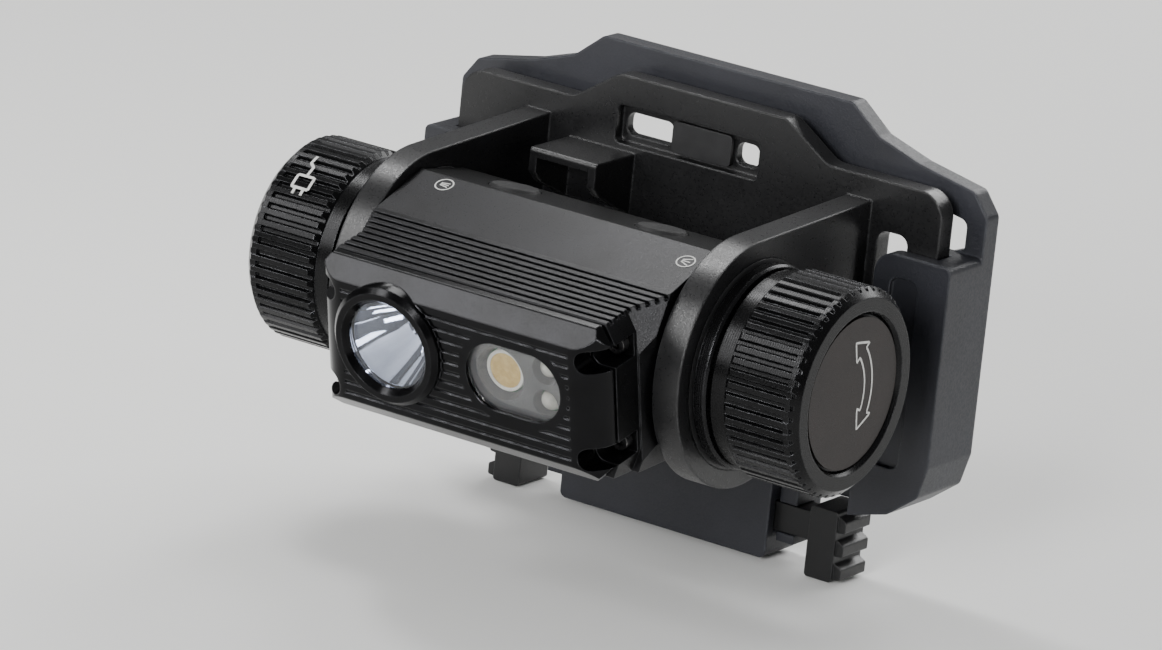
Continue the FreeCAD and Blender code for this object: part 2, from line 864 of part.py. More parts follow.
def port_seal():
    # flat rubber disc that the port cap presses on the tube's end
    return rod_x(cap_skirt_radius - 0.5, -cap_end_x + cap_floor + 0.1, -tube_end_x - 0.1)


def tail_contact():
    return rod_x(bore_radius - 1.4, tail_contact_x, tail_contact_x + 0.7)


def tail_insulator():
    cup = rod_x(bore_radius - 0.4, tail_contact_x - 0.5, cap_end_x - cap_floor - 0.1)
    return cup.cut(rod_x(bore_radius - 1.35, tail_contact_x - 1, tail_contact_x + 0.72))


def tail_spring():
    length = tail_contact_x - battery_end_x - 2 * spring_end_gap
    pitch = (length - 2 * tail_spring_wire) / tail_spring_turns
    start = V(battery_end_x + spring_end_gap + tail_spring_wire, 0, 0)
    return coil(tail_spring_radius, tail_spring_wire, pitch, tail_spring_turns, start, V(1, 0, 0))


# caps
def knurled_cap():
    # right-hand cap: knurled grip, plain collar, threaded skirt shown as a plain bore
    points = []
    for i in range(knurl_count):
        for share, radius in ((0.0, cap_radius), (0.42, cap_radius),
                              (0.58, cap_radius - knurl_depth), (0.84, cap_radius - knurl_depth)):
            angle = 2 * math.pi * (i + share) / knurl_count
            points.append((radius * math.cos(angle), radius * math.sin(angle)))
    wire = Part.makePolygon([V(knurl_start_x, y, z) for y, z in points + points[:1]])
    grip = Part.Face(wire).extrude(V(cap_end_x - knurl_start_x, 0, 0))
    envelope = revolve_x([
        (knurl_start_x, 0),
        (knurl_start_x, cap_radius - 0.7),
        (knurl_start_x + 0.7, cap_radius),
        (cap_end_x - cap_chamfer, cap_radius),
        (cap_end_x, cap_radius - cap_chamfer),
        (cap_end_x, 0),
    ])
    body = grip.common(envelope).fuse(rod_x(cap_collar_radius, cap_start_x, knurl_start_x + 0.5))
    smooth = rod_x(cap_radius - 0.15, cap_end_x - 1.9, cap_end_x - cap_chamfer + 0.15)
    body = body.fuse(smooth)
    body = body.cut(rod_x(cap_skirt_radius, cap_start_x - 1, cap_end_x - cap_floor))
    recess = revolve_x([
        (cap_end_x - end_recess_depth, 0),
        (cap_end_x - end_recess_depth, end_recess_radius - 0.6),
        (cap_end_x + 0.01, end_recess_radius),
        (cap_end_x + 0.01, 0),
    ])
    return body.cut(recess).removeSplitter()


def cap_badge():
    seat = cap_end_x - end_recess_depth
    return rod_x(badge_radius, seat + 0.01, seat + badge_thickness)


def cap_oring():
    middle = oring_floor_radius + oring_section + 0.01
    return Part.makeTorus(middle, oring_section, V(oring_x, 0, 0), V(1, 0, 0))


def retaining_band():
    start = band_start_x
    end = start + band_thickness
    return revolve_x([
        (start, thread_radius + 0.02),
        (start, band_radius - 0.3),
        (start + 0.3, band_radius),
        (end - 0.3, band_radius),
        (end, band_radius - 0.3),
        (end, thread_radius + 0.02),
    ])


# cradle
def cradle_outline():
    return mirrored([
        (plate_top_half, plate_top_z),
        (shoulder_half, wing_top_z),
        (plate_half_width, wing_top_z),
        (plate_half_width, plate_bottom_z),
    ])


def cradle_frame():
    outline = cradle_outline()
    corners = [2.5, 3.5, plate_corner, plate_corner, plate_corner, plate_corner, 3.5, 2.5]
    body = prism_y(outline, corners, plate_front_y, plate_back_y)
    for side in (-1, 1):
        x0 = side * ring_x - ring_width / 2
        x1 = side * ring_x + ring_width / 2
        arm = prism_x([
            (0, ring_outer_radius),
            (plate_front_y + 1, arm_top_z),
            (plate_front_y + 1, arm_bottom_z),
            (0, -ring_outer_radius),
        ], [0, 0, 0, 0], x0, x1)
        body = body.fuse([arm, rod_x(ring_outer_radius, x0, x1)])
    stop = prism_x([
        (plate_front_y + 1, stop_block_top_z - 9),
        (stop_block_front_y + 1.6, stop_block_top_z - 5),
        (stop_block_front_y, stop_block_top_z - 3.4),
        (stop_block_front_y, stop_block_top_z),
        (plate_front_y + 1, stop_block_top_z),
    ], [0, 0, 0.5, 0.5, 0], stop_block_left_x, stop_block_right_x)
    stop = stop.cut(block(stop_block_left_x + stop_block_wall, stop_block_right_x - stop_block_wall, 0,
                          plate_front_y - stop_block_wall, 0, stop_block_top_z - stop_block_wall - 0.1))
    body = body.fuse(stop)
    cuts = [ring_bore(side) for side in (-1, 1)]
    recess = [
        (slot_left_x, slot_bottom_z),
        (slot_right_x, slot_bottom_z),
        (slot_right_x, slot_top_z),
        (slot_left_x, slot_top_z),
    ]
    cuts.append(prism_y(recess, rounded(recess, 0.8), plate_front_y - 1, plate_front_y + slot_recess))
    low = slot_bottom_z + 1.1
    high = slot_top_z - 1.1
    for x0, x1 in ((slot_left_x + 0.8, -window_bar_half), (window_bar_half + 0.4, slot_right_x - 0.9)):
        hole = [(x0, low), (x1, low), (x1, high), (x0, high)]
        cuts.append(prism_y(hole, rounded(hole, 1.2), plate_front_y - 1, plate_back_y + 1))
    for side in (-1, 1):
        left = side * side_slot_x - side_slot_width / 2
        right = side * side_slot_x + side_slot_width / 2
        hole = [
            (left, side_slot_bottom_z),
            (right, side_slot_bottom_z),
            (right, side_slot_top_z),
            (left, side_slot_top_z),
        ]
        cuts.append(prism_y(hole, rounded(hole, 1.5), plate_front_y - 1, plate_back_y + 1))
    return body.cut(cuts).removeSplitter()


def ring_bore(side):
    return rod_x(liner_outer, side * ring_x - ring_width / 2 - 1, side * ring_x + ring_width / 2 + 1)


def ring_liners():
    start = ring_x - ring_width / 2
    liner = ring_x_solid(liner_outer - 0.01, liner_inner, start, start + ring_width)
    return Part.makeCompound([liner, flipped(liner)])


def slot_clip():
    # flat dark clip lying in the strap slot's recess, between the two windows
    outline = [
        (-window_bar_half + 0.3, slot_bottom_z + 0.5),
        (window_bar_half, slot_bottom_z + 0.5),
        (window_bar_half, slot_top_z - 0.5),
        (-window_bar_half + 0.3, slot_top_z - 0.5),
    ]
    seat = plate_front_y + slot_recess
    return prism_y(outline, rounded(outline, 0.6), seat - 0.9, seat - 0.01)


# helmet adapter
def adapter_outline():
    return mirrored([
        (adapter_top_half, adapter_top_z),
        (adapter_top_half + 4.7, adapter_top_z - 3.8),
        (adapter_half_width - 11.4, wing_top_z + 1.8),
        (adapter_half_width - 2.4, wing_top_z),
        (adapter_half_width, wing_top_z - 3.2),
        (adapter_half_width, plate_bottom_z + 3.5),
        (adapter_half_width - 1.2, plate_bottom_z - 1.0),
        (adapter_half_width - 5.6, plate_bottom_z - 4.4),
        (adapter_half_width - 13.4, frame_bottom_z),
    ])


def adapter_opening():
    low = opening_bottom_z
    return mirrored([
        (adapter_top_half - 7.5, slot_top_z - 1.6),
        (adapter_top_half + 3.5, wing_top_z - 2.3),
        (adapter_half_width - 11.4, wing_top_z - 2.6),
        (adapter_half_width - 3.0, wing_top_z - 4.2),
        (adapter_half_width - 3.0, lip_top_z + 0.6),
        (rail_inner_x, lip_top_z - 1.5),
        (rail_inner_x, low),
    ])


def adapter_frame():
    outline = adapter_outline()
    full = prism_y(outline, rounded(outline, 1.2), lip_front_y - 3.55, adapter_back_y)
    reach = 2 * adapter_half_width
    plate = full.common(block(-reach, reach, adapter_front_y, adapter_back_y, -reach, reach))
    opening = adapter_opening()
    corners = [1.5, 1.5, 1.5, 1.2, 0.4, 0.8, 1.5, 1.5, 0.8, 0.4, 1.2, 1.5, 1.5, 1.5]
    plate = plate.cut(prism_y(opening, corners, adapter_front_y - 1, adapter_back_y + 1))
    extras = []
    for side in (-1, 1):
        lip = [
            (lip_inner_x, lip_bottom_z),
            (adapter_half_width, lip_bottom_z),
            (adapter_half_width, lip_top_z),
            (lip_inner_x, lip_top_z),
        ]
        rail = prism_y(lip, [0, 0, 1.0, 3.0], lip_front_y, adapter_front_y + 0.5)
        channel = block(0, plate_half_width + wall_gap, channel_front_y, channel_back_y,
                        plate_bottom_z - floor_gap, reach)
        behind = block(0, rail_inner_x, channel_back_y, adapter_front_y + 1, opening_bottom_z, reach)
        recess = [
            (lip_inner_x + 2.6, plate_bottom_z + 2.0),
            (adapter_half_width - 4.8, plate_bottom_z + 2.0),
            (adapter_half_width - 4.8, lip_top_z - 3.1),
            (lip_inner_x + 2.6, lip_top_z - 3.1),
        ]
        dent = prism_y(recess, rounded(recess, 1.4), lip_front_y - 1, lip_front_y + 0.7)
        rail = rail.cut([channel, behind, dent]).common(full)
        extras.append(rail if side > 0 else flipped(rail))
    center = [
        (-block_half_width, block_bottom_z),
        (block_half_width, block_bottom_z),
        (block_half_width, plate_bottom_z - 0.8),
        (-block_half_width, plate_bottom_z - 0.8),
    ]
    extras.append(prism_y(center, [1.0, 1.0, 0.8, 0.8], block_front_y, adapter_back_y))
    for side in (-1, 1):
        wall = block(rib_wall_start, rib_wall_end, adapter_back_y - rib_wall_depth, adapter_back_y,
                     plate_bottom_z - rib_wall_drop, frame_bottom_z + 1)
        extras.append(wall if side > 0 else flipped(wall))
    body = plate.fuse(extras)
    return body.cut(latch_cuts() + pad_pockets()).removeSplitter()


def latch_cuts():
    # channels for the two stems, their stop lugs and the back cover
    half = stem_size / 2 + stem_gap
    low = stem_center_z - half
    high = stem_center_z + half
    cuts = []
    for side in (-1, 1):
        channel = block(spring_seat_x, rib_wall_end + 1, stem_center_y - half,
                        stem_center_y + half, low, high)
        lug = block(stem_inner_x - latch_travel - lug_end_gap, stem_inner_x + lug_length + stem_gap,
                    stem_center_y - half, stem_center_y + half, low - lug_size, high + lug_size)
        back = block(spring_seat_x, stem_inner_x + lug_length + stem_gap, stem_center_y,
                     cover_front_y + 0.01, low, high)
        for cut in (channel, lug, back):
            cuts.append(cut if side > 0 else flipped(cut))
    pocket = cover_outline(0.1)
    cuts.append(prism_y(pocket, rounded(pocket, 1.0), cover_front_y, adapter_back_y + 1))
    for x in (-cover_screw_x, cover_screw_x):
        cuts.append(Part.makeCylinder(cover_screw_radius + 0.05, cover_screw_length + 1.0,
                                      V(x, cover_front_y - cover_screw_length, stem_center_z), V(0, 1, 0)))
    return cuts


def cover_outline(gap):
    return [
        (-cover_half - gap, cover_bottom_z - gap),
        (cover_half + gap, cover_bottom_z - gap),
        (cover_half + gap, cover_top_z + gap),
        (-cover_half - gap, cover_top_z + gap),
    ]


def latch_cover():
    outline = cover_outline(0.0)
    body = prism_y(outline, rounded(outline, 1.0), cover_front_y + 0.02, adapter_back_y)
    cuts = []
    for x in (-cover_screw_x, cover_screw_x):
        hole_radius = cover_screw_radius + 0.1
        cuts.append(Part.makeCylinder(hole_radius, 10, V(x, adapter_back_y - 5, stem_center_z), V(0, 1, 0)))
        cuts.append(Part.makeCone(hole_radius, 2 * hole_radius - 0.05, hole_radius - 0.05,
                                  V(x, adapter_back_y - hole_radius + 0.06, stem_center_z), V(0, 1, 0)))
    return body.cut(cuts)


def cover_screws():
    screws = []
    for x in (-cover_screw_x, cover_screw_x):
        seat = adapter_back_y - cover_screw_radius - 0.05
        head = Part.makeCone(cover_screw_radius, 2 * cover_screw_radius, cover_screw_radius,
                             V(x, seat, stem_center_z), V(0, 1, 0))
        shank = Part.makeCylinder(cover_screw_radius, cover_screw_length,
                                  V(x, seat - cover_screw_length, stem_center_z), V(0, 1, 0))
        slot = block(x - 1.1, x + 1.1, adapter_back_y - 0.35, adapter_back_y + 1,
                     stem_center_z - 0.2, stem_center_z + 0.2)
        screws.append(head.fuse(shank).cut(slot).removeSplitter())
    return Part.makeCompound(screws)


def pad_pockets():
    return [
        Part.makeCylinder(pad_radius + 0.05, 5, V(x, adapter_back_y - pad_thickness, z), V(0, 1, 0))
        for x in (-pad_x, pad_x) for z in pad_z
    ]


def back_pads():
    return Part.makeCompound([
        Part.makeCylinder(pad_radius, pad_thickness - 0.02, V(x, adapter_back_y - pad_thickness + 0.02, z),
                          V(0, 1, 0))
        for x in (-pad_x, pad_x) for z in pad_z
    ])


# squeeze latches
def squeeze_latch():
    half = stem_size / 2
    stem = block(stem_inner_x, grip_inner_x + 1, stem_center_y - half, stem_center_y + half,
                 stem_center_z - half, stem_center_z + half)
    lug = block(stem_inner_x, stem_inner_x + lug_length, stem_center_y - half, stem_center_y + half,
                stem_center_z - half - lug_size, stem_center_z + half + lug_size)
    outline = [
        (grip_inner_x, grip_bottom_z),
        (grip_outer_x - grip_ridge_height, grip_bottom_z),
        (grip_outer_x - grip_ridge_height, grip_top_z),
        (grip_inner_x, grip_top_z),
    ]
    grip = prism_y(outline, rounded(outline, 0.5), grip_front_y, grip_back_y)
    pieces = [lug, grip]
    step = (grip_top_z - grip_bottom_z) / grip_ridge_count
    for i in range(grip_ridge_count):
        base = grip_bottom_z + i * step
        tooth = [
            (grip_outer_x - grip_ridge_height - 0.8, base + 0.3),
            (grip_outer_x, base + 0.5),
            (grip_outer_x, base + step * 0.62),
            (grip_outer_x - grip_ridge_height - 0.8, base + step - 0.2),
        ]
        pieces.append(prism_y(tooth, [0, 0.3, 0.3, 0], grip_front_y + 0.4, grip_back_y - 0.4))
    return stem.fuse(pieces).removeSplitter()


def latch_spring():
    length = stem_inner_x - spring_seat_x - 0.1
    pitch = (length - 2 * spring_wire) / spring_turns
    start = V(spring_seat_x + 0.05 + spring_wire, stem_center_y, stem_center_z)
    return coil(spring_radius, spring_wire, pitch, spring_turns, start, V(1, 0, 0))


# assembly
lamp_parts = {
    "main_housing": main_housing,
    "front_cover": front_cover,
    "head_gasket": head_gasket,
    "head_screws": head_screws,
    "spot_lens": spot_lens,
    "spot_reflector": spot_reflector,
    "spot_board": spot_board,
    "spot_led": spot_led,
    "flood_window": flood_window,
    "flood_insert": flood_insert,
    "flood_board": flood_board,
    "flood_led_ring": flood_led_ring,
    "flood_led": flood_led,
    "small_leds": small_leds,
    "heat_sink": heat_sink,
    "driver_board": driver_board,
    "driver_chips": driver_chips,
    "board_posts": board_posts,
    "tact_switches": tact_switches,
    "battery_cell": battery_cell,
    "battery_terminal": battery_terminal,
    "front_contact": front_contact,
    "port_board": port_board,
    "port_plug": port_plug,
    "usb_port": usb_port,
    "usb_tongue": usb_tongue,
    "port_seal": port_seal,
    "tail_contact": tail_contact,
    "tail_insulator": tail_insulator,
    "tail_spring": tail_spring,
    "tail_cap": knurled_cap,
    "tail_badge": cap_badge,
}

cradle_parts = {
    "cradle_frame": cradle_frame,
    "ring_liners": ring_liners,
    "slot_clip": slot_clip,
}

adapter_parts = {
    "adapter_frame": adapter_frame,
    "latch_cover": latch_cover,
    "cover_screws": cover_screws,
    "back_pads": back_pads,
    "latch_right": squeeze_latch,
    "latch_spring_right": latch_spring,
}


def build():
    os.makedirs("parts", exist_ok=True)
    for name, maker in lamp_parts.items():
        save(name, in_lamp(maker()))
    save("spot_button", in_lamp(push_button(-1)))
    save("flood_button", in_lamp(push_button(1)))
    save("port_cap", in_lamp(flipped(knurled_cap())))
    save("port_badge", in_lamp(flipped(cap_badge())))
    save("tail_oring", in_lamp(cap_oring()))
    save("port_oring", in_lamp(flipped(cap_oring())))
    bands = Part.makeCompound([retaining_band(), flipped(retaining_band())])
    save("retaining_bands", in_lamp(bands))
    for name, maker in list(cradle_parts.items()) + list(adapter_parts.items()):
        save(name, at_axis(maker()))
    save("latch_left", at_axis(flipped(squeeze_latch())))
    save("latch_spring_left", at_axis(flipped(latch_spring())))


build()
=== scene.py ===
import json
import math
import bpy
import numpy as np
from mathutils import Matrix, Vector


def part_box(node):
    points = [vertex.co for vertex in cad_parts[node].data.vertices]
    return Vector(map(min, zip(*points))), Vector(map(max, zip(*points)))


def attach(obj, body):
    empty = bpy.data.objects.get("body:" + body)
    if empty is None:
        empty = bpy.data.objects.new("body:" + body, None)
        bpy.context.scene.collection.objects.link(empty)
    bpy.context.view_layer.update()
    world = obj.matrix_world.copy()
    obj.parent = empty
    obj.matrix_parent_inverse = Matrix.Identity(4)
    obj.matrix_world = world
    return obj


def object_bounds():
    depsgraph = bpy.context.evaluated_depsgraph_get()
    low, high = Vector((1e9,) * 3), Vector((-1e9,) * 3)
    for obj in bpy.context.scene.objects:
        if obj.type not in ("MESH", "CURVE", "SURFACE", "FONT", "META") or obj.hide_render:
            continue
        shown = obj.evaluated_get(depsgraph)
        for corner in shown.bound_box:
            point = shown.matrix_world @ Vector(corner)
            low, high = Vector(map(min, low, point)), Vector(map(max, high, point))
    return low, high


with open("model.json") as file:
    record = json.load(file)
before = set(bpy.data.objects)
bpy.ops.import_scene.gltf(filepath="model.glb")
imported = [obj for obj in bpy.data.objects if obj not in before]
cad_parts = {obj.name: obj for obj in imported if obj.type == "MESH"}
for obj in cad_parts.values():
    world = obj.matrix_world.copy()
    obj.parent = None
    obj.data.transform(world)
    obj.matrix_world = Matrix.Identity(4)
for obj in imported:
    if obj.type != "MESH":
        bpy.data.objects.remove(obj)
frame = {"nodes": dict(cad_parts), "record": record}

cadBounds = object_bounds()
print("frame loaded:", len(frame["nodes"]), "pieces")

# the tube's axis and how far the lamp looks down at rest: every lamp drawing below uses them
lampPose = {"axisY": -0.0345, "axisZ": 0.020, "tiltDegrees": 13.0}


# small tools
def toLinear(hexColour, alpha=1.0):
    # sRGB hex to the linear values that shaders take
    parts = [int(hexColour[i:i + 2], 16) / 255 for i in (1, 3, 5)]
    return tuple(p / 12.92 if p <= 0.04045 else ((p + 0.055) / 1.055) ** 2.4 for p in parts) + (alpha,)


def addNode(tree, kind, settings=None, links=None):
    # one node, its settings (socket name, socket number or property) and what feeds it
    node = tree.nodes.new(kind)
    for key, value in (settings or {}).items():
        if isinstance(key, int) or key in node.inputs:
            node.inputs[key].default_value = value
        else:
            setattr(node, key, value)
    for socket, source in (links or {}).items():
        tree.links.new(source, node.inputs[socket])
    return node


def startMaterial(name):
    material = bpy.data.materials.new(name)
    material.use_nodes = True
    tree = material.node_tree
    tree.nodes.clear()
    coords = addNode(tree, "ShaderNodeTexCoord").outputs["Object"]
    return material, tree, coords


def closeMaterial(material, tree, shader):
    addNode(tree, "ShaderNodeOutputMaterial", links={"Surface": shader.outputs[0]})
    return material


def remap(tree, source, low, high, fromLow=0.0, fromHigh=1.0):
    limits = {"From Min": fromLow, "From Max": fromHigh, "To Min": low, "To Max": high}
    return addNode(tree, "ShaderNodeMapRange", limits, {"Value": source}).outputs[0]


def mixColour(tree, factor, first, second):
    # first and second are colours or sockets
    node = addNode(tree, "ShaderNodeMix", {"data_type": "RGBA"}, {0: factor})
    for number, value in ((6, first), (7, second)):
        if isinstance(value, tuple):
            node.inputs[number].default_value = value
        else:
            tree.links.new(value, node.inputs[number])
    return node.outputs[2]


# where each noise starts and stops counting, shared by every finish
patternRanges = {"edgeFull": 0.80, "edgeNone": 0.985, "scuffLow": 0.38, "scuffHigh": 0.62, "scuffLeast": 0.15,
                 "cloudLow": 0.35, "cloudHigh": 0.68, "grainLow": 0.3, "grainHigh": 0.7, "wornPolish": -0.10,
                 "scuffMm": 1.6}


def surfaceMaterial(name, look):
    # colour clouds, a fine grain that moves roughness and relief, softened and worn edges,
    # and lathe rings about an axis where the piece was turned
    material, tree, coords = startMaterial(name)
    cloud = addNode(tree, "ShaderNodeTexNoise", {
        "Scale": 1000 / look["cloudMm"], "Detail": 3.0, "Roughness": 0.6}, {"Vector": coords}).outputs[0]
    grain = addNode(tree, "ShaderNodeTexNoise", {
        "Scale": 1000 / look["grainMm"], "Detail": 2.0, "Roughness": 0.55}, {"Vector": coords}).outputs[0]
    scuff = addNode(tree, "ShaderNodeTexNoise", {
        "Scale": 1000 / patternRanges["scuffMm"], "Detail": 4.0, "Roughness": 0.7},
        {"Vector": coords}).outputs[0]
    softEdge = addNode(tree, "ShaderNodeBevel", {"samples": 4, "Radius": look["edgeMm"] / 1000}).outputs[0]
    flatNormal = addNode(tree, "ShaderNodeNewGeometry").outputs["Normal"]
    facing = addNode(tree, "ShaderNodeVectorMath", {"operation": "DOT_PRODUCT"},
                     {0: softEdge, 1: flatNormal}).outputs["Value"]
    ranges = patternRanges
    edge = remap(tree, facing, 1.0, 0.0, ranges["edgeFull"], ranges["edgeNone"])
    scuffed = remap(tree, scuff, ranges["scuffLeast"], 1.0, ranges["scuffLow"], ranges["scuffHigh"])
    wear = addNode(tree, "ShaderNodeMath", {"operation": "MULTIPLY"}, {0: edge, 1: scuffed}).outputs[0]
    wear = addNode(tree, "ShaderNodeMath", {"operation": "MULTIPLY", 1: look["wear"]}, {0: wear}).outputs[0]
    clouded = remap(tree, cloud, 0.0, 1.0, ranges["cloudLow"], ranges["cloudHigh"])
    colour = mixColour(tree, clouded, toLinear(look["colour"]), toLinear(look["second"]))
    colour = mixColour(tree, wear, colour, toLinear(look["worn"]))
    rough = remap(tree, grain, look["rough"] - look["roughSpread"], look["rough"] + look["roughSpread"],
                  ranges["grainLow"], ranges["grainHigh"])
    rough = addNode(tree, "ShaderNodeMath", {"operation": "MULTIPLY_ADD", 1: ranges["wornPolish"]},
                    {0: wear, 2: rough}).outputs[0]
    height = grain
    if "latheMm" in look:
        centred = addNode(tree, "ShaderNodeMapping", {
            "Location": (0, -lampPose["axisY"], -lampPose["axisZ"])}, {"Vector": coords}).outputs[0]
        radial = addNode(tree, "ShaderNodeVectorMath", {"operation": "MULTIPLY", 1: (0, 1, 1)},
                         {0: centred}).outputs[0]
        reach = addNode(tree, "ShaderNodeVectorMath", {"operation": "LENGTH"}, {0: radial}).outputs["Value"]
        along = addNode(tree, "ShaderNodeSeparateXYZ", links={0: centred}).outputs[0]
        spiral = addNode(tree, "ShaderNodeMath", {"operation": "ADD"}, {0: reach, 1: along}).outputs[0]
        turnsPerMetre = 2 * math.pi * 1000 / look["latheMm"]
        phase = addNode(tree, "ShaderNodeMath", {"operation": "MULTIPLY", 1: turnsPerMetre},
                        {0: spiral}).outputs[0]
        rings = addNode(tree, "ShaderNodeMath", {"operation": "SINE"}, {0: phase}).outputs[0]
        height = addNode(tree, "ShaderNodeMath", {"operation": "MULTIPLY_ADD", 1: look["latheShare"]},
                         {0: rings, 2: grain}).outputs[0]
    relief = addNode(tree, "ShaderNodeBump", {
        "Strength": look["relief"], "Distance": look["reliefMm"] / 1000},
        {"Height": height, "Normal": softEdge})
    settings = {"Metallic": look["metallic"], "IOR": look.get("ior", 1.5)}
    settings.update(look.get("shader", {}))
    shader = addNode(tree, "ShaderNodeBsdfPrincipled", settings, {
        "Base Color": colour, "Roughness": rough, "Normal": relief.outputs[0]})
    return closeMaterial(material, tree, shader)


def clearMaterial(name, look):
    # see-through piece: faint wipe marks move the roughness, a slow wave bends the reflections a little
    material, tree, coords = startMaterial(name)
    smear = addNode(tree, "ShaderNodeTexNoise", {
        "Scale": 1000 / look["smearMm"], "Detail": 5.0, "Distortion": 1.2}, {"Vector": coords}).outputs[0]
    rough = remap(tree, smear, look["rough"], look["rough"] + look["smear"], 0.45, 0.75)
    wave = addNode(tree, "ShaderNodeTexNoise", {"Scale": 1000 / look["waveMm"]},
                   {"Vector": coords}).outputs[0]
    relief = addNode(tree, "ShaderNodeBump", {
        "Strength": 0.15, "Distance": look["waveReliefMm"] / 1000}, {"Height": wave})
    tint = mixColour(tree, smear, toLinear(look["tint"]), toLinear(look["second"]))
    shader = addNode(tree, "ShaderNodeBsdfPrincipled", {
        "IOR": look["ior"], "Transmission Weight": look["clear"], "Coat Weight": look["coat"],
        "Coat Tint": toLinear(look["coatTint"])},
        {"Base Color": tint, "Roughness": rough, "Normal": relief.outputs[0]})
    return closeMaterial(material, tree, shader)


# finishes of the lamp, one for each material slot
finishes = {}

# hard-anodised aluminium, bead blasted before the bath: deep black with a soft grey bloom in the light
finishes["housing_anodised"] = surfaceMaterial("hardAnodisedBlasted", {
    "colour": "#111112", "second": "#18181a", "worn": "#6d6e72", "wear": 0.35, "metallic": 0.75,
    "cloudMm": 9.0, "grainMm": 0.16, "edgeMm": 0.22, "rough": 0.33, "roughSpread": 0.07,
    "relief": 0.25, "reliefMm": 0.03, "shader": {"Specular IOR Level": 0.45}})

# milled then anodised front cover: glossier than the housing, so its corners carry sharp highlights
finishes["cover_anodised"] = surfaceMaterial("hardAnodisedMilled", {
    "colour": "#0b0b0c", "second": "#111113", "worn": "#77787c", "wear": 0.30, "metallic": 0.75,
    "cloudMm": 7.0, "grainMm": 0.2, "edgeMm": 0.28, "rough": 0.17, "roughSpread": 0.05,
    "relief": 0.15, "reliefMm": 0.02, "shader": {"Specular IOR Level": 0.4}})

# knurled caps, turned and anodised: fine lathe rings on the end, bright rubbed crests on the knurl
finishes["cap_anodised"] = surfaceMaterial("hardAnodisedKnurled", {
    "colour": "#0e0e0f", "second": "#141415", "worn": "#7a7b7f", "wear": 0.38, "metallic": 0.75,
    "cloudMm": 6.0, "grainMm": 0.18, "edgeMm": 0.16, "rough": 0.26, "roughSpread": 0.07,
    "relief": 0.30, "reliefMm": 0.02, "latheMm": 0.35, "latheShare": 0.35})

# turned retaining bands: a narrow bright line each side of the dark gap
finishes["band_anodised"] = surfaceMaterial("hardAnodisedTurned", {
    "colour": "#171718", "second": "#202022", "worn": "#808186", "wear": 0.40, "metallic": 0.75,
    "cloudMm": 5.0, "grainMm": 0.2, "edgeMm": 0.15, "rough": 0.26, "roughSpread": 0.05,
    "relief": 0.35, "reliefMm": 0.02, "latheMm": 0.3, "latheShare": 0.6})

# end disc of each cap, satin brown-black film: warmer and flatter than the metal round it
finishes["badge_brown"] = surfaceMaterial("satinBrownDisc", {
    "colour": "#140d0b", "second": "#1a1210", "worn": "#3a2c28", "wear": 0.2, "metallic": 0.0,
    "cloudMm": 5.0, "grainMm": 0.12, "edgeMm": 0.1, "rough": 0.3, "roughSpread": 0.05,
    "relief": 0.3, "reliefMm": 0.015, "shader": {"Specular IOR Level": 0.22}})

# moulded silicone and nitrile: no shine, dust settles in its grain
finishes["seal_rubber"] = surfaceMaterial("nitrileRubber", {
    "colour": "#151515", "second": "#1f1f1e", "worn": "#2c2c2b", "wear": 0.3, "metallic": 0.0,
    "cloudMm": 3.0, "grainMm": 0.2, "edgeMm": 0.1, "rough": 0.72, "roughSpread": 0.1,
    "relief": 0.4, "reliefMm": 0.03})
finishes["button_rubber"] = surfaceMaterial("siliconeRubber", {
    "colour": "#121213", "second": "#19191a", "worn": "#2c2c2d", "wear": 0.4, "metallic": 0.0,
    "cloudMm": 3.0, "grainMm": 0.25, "edgeMm": 0.3, "rough": 0.60, "roughSpread": 0.08,
    "relief": 0.35, "reliefMm": 0.03, "shader": {"Specular IOR Level": 0.3}})

# blackened steel screws: the socket's rim is rubbed bright by the key
finishes["screw_steel"] = surfaceMaterial("blackenedSteel", {
    "colour": "#4a4a4c", "second": "#5b5a5a", "worn": "#a8a7a4", "wear": 0.8, "metallic": 1.0,
    "cloudMm": 1.2, "grainMm": 0.15, "edgeMm": 0.12, "rough": 0.34, "roughSpread": 0.1,
    "relief": 0.35, "reliefMm": 0.02})

# coated float glass over the spot, clear with a faint blue coat
finishes["spot_glass"] = clearMaterial("coatedLensGlass", {
    "tint": "#fbfdff", "second": "#f2f6fa", "ior": 1.5, "clear": 1.0, "rough": 0.0, "smear": 0.03,
    "smearMm": 5.0, "waveMm": 9.0, "waveReliefMm": 0.01, "coat": 0.2, "coatTint": "#dfe6ff"})
finishes["window_clear"] = clearMaterial("mouldedPolycarbonate", {
    "tint": "#fcfcfa", "second": "#f3f4f2", "ior": 1.585, "clear": 1.0, "rough": 0.01, "smear": 0.05,
    "smearMm": 3.0, "waveMm": 4.0, "waveReliefMm": 0.02, "coat": 0.0, "coatTint": "#ffffff"})

# vacuum-metallised cup: a mirror with the faint orange peel of its lacquer
finishes["reflector_chrome"] = surfaceMaterial("metallisedMirror", {
    "colour": "#f1f1f0", "second": "#e4e5e6", "worn": "#ffffff", "wear": 0.1, "metallic": 1.0,
    "cloudMm": 4.0, "grainMm": 0.9, "edgeMm": 0.05, "rough": 0.05, "roughSpread": 0.02,
    "relief": 0.08, "reliefMm": 0.02})

# grey moulded insert round the flood diodes
finishes["insert_grey"] = surfaceMaterial("mouldedGreyPolycarbonate", {
    "colour": "#45464a", "second": "#505156", "worn": "#808185", "wear": 0.5, "metallic": 0.0,
    "cloudMm": 2.5, "grainMm": 0.15, "edgeMm": 0.15, "rough": 0.38, "roughSpread": 0.06,
    "relief": 0.25, "reliefMm": 0.02})

